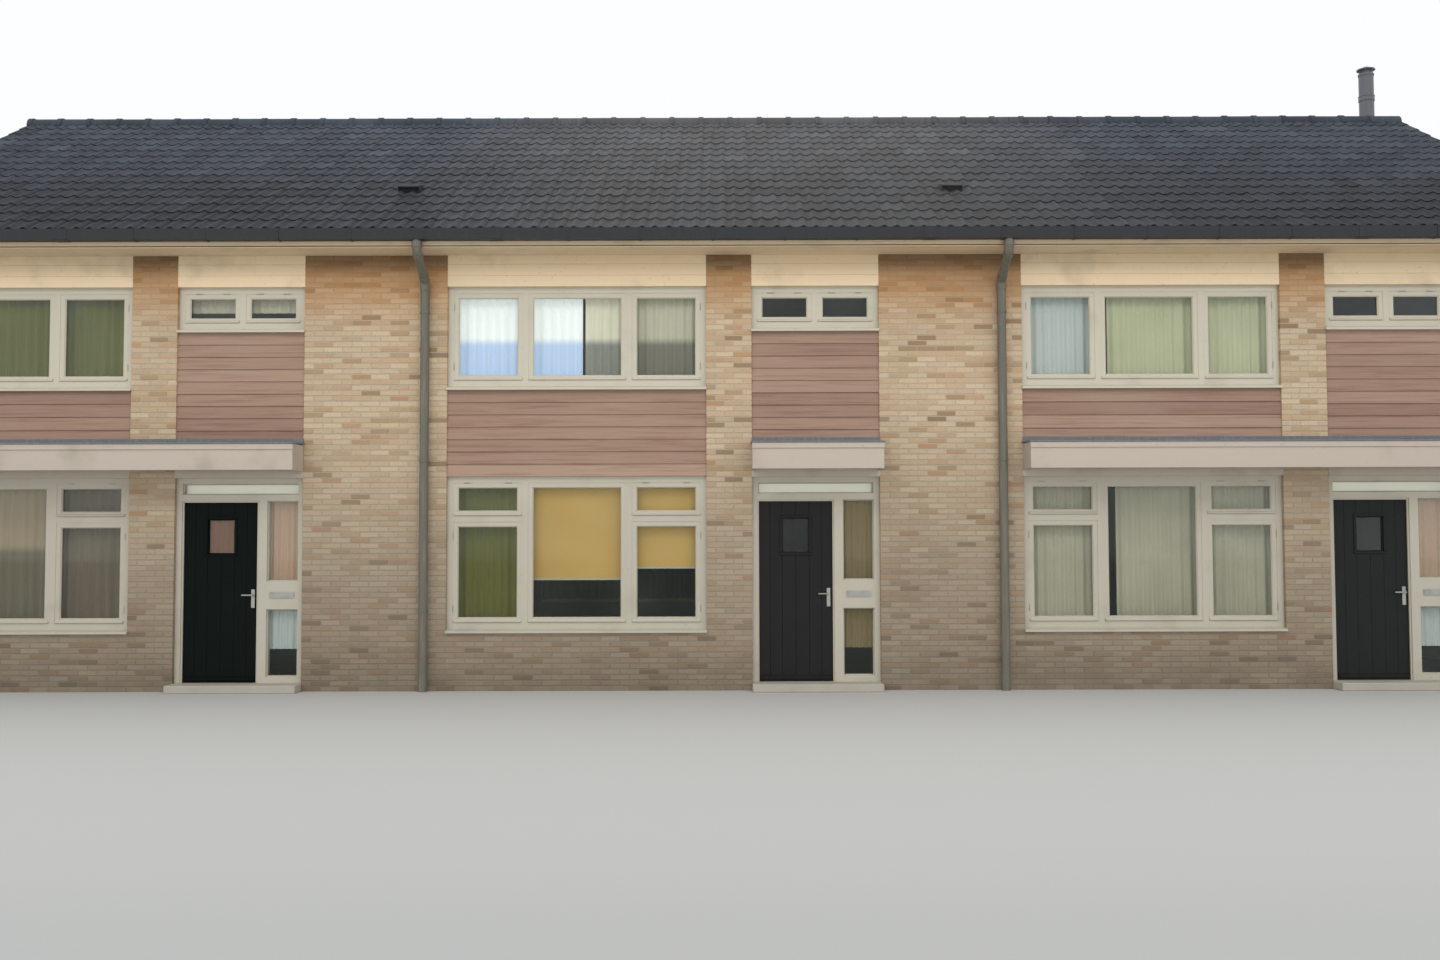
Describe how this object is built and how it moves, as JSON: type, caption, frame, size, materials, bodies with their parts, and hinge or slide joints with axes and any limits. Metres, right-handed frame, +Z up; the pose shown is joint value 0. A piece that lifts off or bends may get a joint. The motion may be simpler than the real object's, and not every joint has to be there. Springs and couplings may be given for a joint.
{
  "type": "terraced house row",
  "caption": "Two-storey terraced houses in buff brick with board-clad bays, timber windows, hinged front doors and one long pitched roof.",
  "frame": {"origin": "centre of the row's footprint at ground level", "axes": "+X along the row to the right as seen from the street, +Y from the fronts to the rear, +Z up"},
  "size_m": [20.1, 9.89, 8.77],
  "materials": {
    "brick": "buff face brick with light grey mortar joints",
    "plaster": "plastered blockwork and infill",
    "concrete": "plain concrete",
    "roof_tiles": "dark grey interlocking roof tiles",
    "boards": "reddish-brown stained weatherboards",
    "painted_boards": "cream paint, slightly weathered",
    "gutter": "dark grey coated sheet",
    "pipe": "grey plastic pipe",
    "flue": "dark grey weathered",
    "joinery": "off-white paint",
    "glass": "clear double glazing",
    "green_door": "green-black paint",
    "black_door": "soft black paint",
    "grey_door": "dark grey paint",
    "door_metal": "satin"
  },
  "bodies": {
    "row": {"gable_wall_left": "brick", "party_wall_left": "plaster", "party_wall_right": "plaster", "gable_wall_right": "brick", "front_piers": "brick", "rear_piers": "brick", "dwarf_walls": "brick", "infill_walls": "plaster", "head_boards": "painted_boards", "ground_floors": "concrete", "upper_floors": "concrete", "attic_floors": "concrete", "roof_front": "roof_tiles", "roof_rear": "roof_tiles", "ridge_tiles": "roof_tiles", "verge_boards": "painted_boards", "eaves_boards_front": "painted_boards", "eaves_boards_rear": "painted_boards", "gutter_front": "gutter", "gutter_rear": "gutter", "downpipes_front": "pipe", "downpipes_rear": "pipe", "flue_pipe": "flue", "roof_vents": "flue", "cladding_boards": "boards", "band_boards": "painted_boards", "canopies": "painted_boards", "low_sills": "joinery", "low_frames": "joinery", "low_sashes": "joinery", "low_glass": "glass", "high_sills": "joinery", "high_frames": "joinery", "high_sashes": "joinery", "high_glass": "glass", "small_sills": "joinery", "small_frames": "joinery", "small_sashes": "joinery", "small_glass": "glass", "doorsteps": "concrete", "door_frame_left": "joinery", "door_frame_middle": "joinery", "door_frame_right": "joinery", "door_stops": "joinery", "door_side_glass": "glass", "letter_plates": "door_metal", "rear_door_frames": "joinery", "rear_door_leaves": "joinery"},
    "front_door_left": {"door_leaf_left": "green_door", "door_fittings_left": "door_metal"},
    "front_door_middle": {"door_leaf_middle": "black_door", "door_fittings_middle": "door_metal"},
    "front_door_right": {"door_leaf_right": "grey_door", "door_fittings_right": "door_metal"}
  },
  "joints": [
    {"name": "front_door_left_hinge", "type": "hinge", "parent": "row", "child": "front_door_left", "pos_m": [-6.098, -4.18, 1.13], "axis": [0, 0, 1], "range_deg": [0, 90]},
    {"name": "front_door_middle_hinge", "type": "hinge", "parent": "row", "child": "front_door_middle", "pos_m": [0.502, -4.18, 1.13], "axis": [0, 0, 1], "range_deg": [0, 90]},
    {"name": "front_door_right_hinge", "type": "hinge", "parent": "row", "child": "front_door_right", "pos_m": [7.102, -4.18, 1.13], "axis": [0, 0, 1], "range_deg": [0, 90]}
  ]
}
